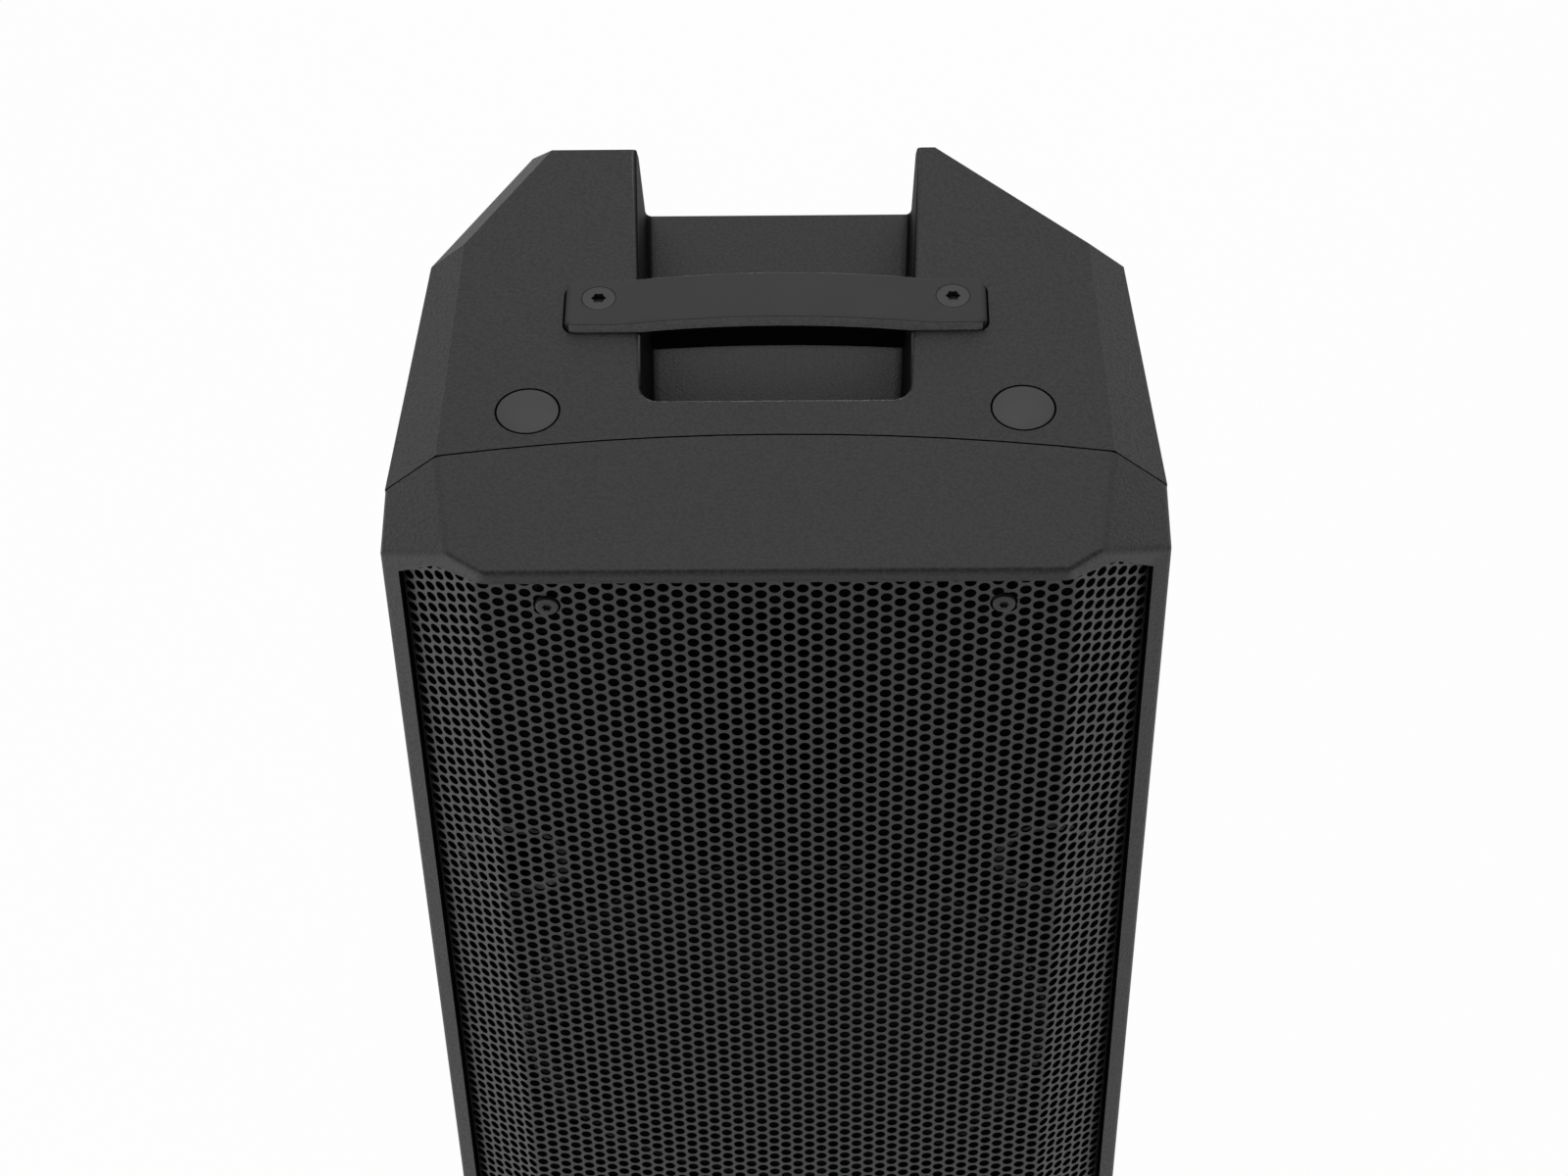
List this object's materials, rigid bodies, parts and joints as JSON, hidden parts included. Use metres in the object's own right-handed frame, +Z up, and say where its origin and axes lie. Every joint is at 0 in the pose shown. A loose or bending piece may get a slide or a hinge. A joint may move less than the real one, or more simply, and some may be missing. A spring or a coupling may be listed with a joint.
{
  "type": "powered loudspeaker",
  "caption": "Portable two-way powered loudspeaker: moulded cabinet with unequal rear flanks, bowed perforated grille, strap handle over a hand pocket, stand socket and rear amplifier panel.",
  "frame": {"origin": "on the floor, under the middle of the cabinet's width and depth", "axes": "+Z up, -Y out of the grille, +X to the right as seen from the front"},
  "size_m": [0.4, 0.333, 0.6744],
  "materials": {
    "textured_polypropylene": "fine moulded grain, matte",
    "grille_steel": "black powder coat",
    "black_rubber": "matte",
    "screw_steel": "blackened",
    "painted_steel": "satin black",
    "bare_steel": "plated",
    "ferrite": "matte ceramic",
    "cone_paper": "coated, matte",
    "surround_cloth": "coated, satin",
    "spider_cloth": "resin-dipped weave",
    "copper_winding": "enamelled wire",
    "moulded_plastic": "satin",
    "cast_aluminium": "as cast",
    "painted_aluminium": "satin black paint",
    "circuit_board": "green solder mask",
    "lamp_plastic": "clear moulded lens",
    "damping_foam": "open-cell"
  },
  "bodies": {
    "cabinet": {"amp_board": "circuit_board", "amp_heatsink": "painted_aluminium", "amp_panel": "painted_aluminium", "base_foot_front_left": "black_rubber", "base_foot_front_right": "black_rubber", "base_foot_rear_left": "black_rubber", "base_foot_rear_right": "black_rubber", "bass_port_left": "moulded_plastic", "bass_port_right": "moulded_plastic", "compression_driver": "bare_steel", "control_board": "circuit_board", "damping_pad_left": "damping_foam", "damping_pad_right": "damping_foam", "driver_cover": "moulded_plastic", "front_baffle": "textured_polypropylene", "grille": "grille_steel", "grille_screw_base_left": "screw_steel", "grille_screw_base_right": "screw_steel", "grille_screw_top_left": "screw_steel", "grille_screw_top_right": "screw_steel", "handle_screw_left": "screw_steel", "handle_screw_right": "screw_steel", "handle_strap": "black_rubber", "horn_waveguide": "moulded_plastic", "input_socket_one": "moulded_plastic", "input_socket_two": "moulded_plastic", "link_socket": "moulded_plastic", "mains_inlet": "moulded_plastic", "mains_switch_frame": "moulded_plastic", "pole_cup": "cast_aluminium", "power_board": "circuit_board", "rear_shell": "textured_polypropylene", "status_lamp": "lamp_plastic", "top_pad_left": "black_rubber", "top_pad_right": "black_rubber", "woofer_back_plate": "bare_steel", "woofer_basket": "painted_steel", "woofer_magnet": "ferrite", "woofer_spider": "spider_cloth", "woofer_surround": "surround_cloth", "woofer_top_plate": "bare_steel"},
    "woofer_moving": {"woofer_cone": "cone_paper", "woofer_dust_cap": "cone_paper", "woofer_voice_coil": "copper_winding"},
    "level_knob_one": {"level_knob_one": "moulded_plastic"},
    "level_knob_two": {"level_knob_two": "moulded_plastic"},
    "master_knob": {"master_knob": "moulded_plastic"},
    "mode_button": {"mode_button": "moulded_plastic"},
    "low_cut_button": {"low_cut_button": "moulded_plastic"},
    "input_latch_one": {"input_latch_one": "moulded_plastic"},
    "input_latch_two": {"input_latch_two": "moulded_plastic"},
    "mains_rocker": {"mains_rocker": "moulded_plastic"}
  },
  "joints": [
    {"name": "woofer_cone_slide", "type": "slide", "parent": "cabinet", "child": "woofer_moving", "axis": [0, -1, 0], "range_m": [-0.005, 0.005], "stiffness_N_per_m": 4000, "deforming": ["woofer_surround", "woofer_spider"]},
    {"name": "level_knob_one_turn", "type": "hinge", "parent": "cabinet", "child": "level_knob_one", "pos_m": [0.02425, 0.1498, 0.428], "axis": [0, 1, 0], "range_deg": [-150, 150]},
    {"name": "master_knob_turn", "type": "hinge", "parent": "cabinet", "child": "master_knob", "pos_m": [-0.01975, 0.1498, 0.428], "axis": [0, 1, 0], "range_deg": [-150, 150]},
    {"name": "level_knob_two_turn", "type": "hinge", "parent": "cabinet", "child": "level_knob_two", "pos_m": [-0.06375, 0.1498, 0.428], "axis": [0, 1, 0], "range_deg": [-150, 150]},
    {"name": "mode_button_press", "type": "slide", "parent": "cabinet", "child": "mode_button", "axis": [0, -1, 0], "range_m": [0, 0.002], "stiffness_N_per_m": 800},
    {"name": "low_cut_button_press", "type": "slide", "parent": "cabinet", "child": "low_cut_button", "axis": [0, -1, 0], "range_m": [0, 0.002], "stiffness_N_per_m": 800},
    {"name": "input_latch_one_press", "type": "slide", "parent": "cabinet", "child": "input_latch_one", "axis": [0, -1, 0], "range_m": [0, 0.0012], "stiffness_N_per_m": 1200},
    {"name": "input_latch_two_press", "type": "slide", "parent": "cabinet", "child": "input_latch_two", "axis": [0, -1, 0], "range_m": [0, 0.0012], "stiffness_N_per_m": 1200},
    {"name": "mains_rocker_tilt", "type": "hinge", "parent": "cabinet", "child": "mains_rocker", "pos_m": [-0.05975, 0.15085, 0.19], "axis": [1, 0, 0], "range_deg": [-14, 0]}
  ]
}
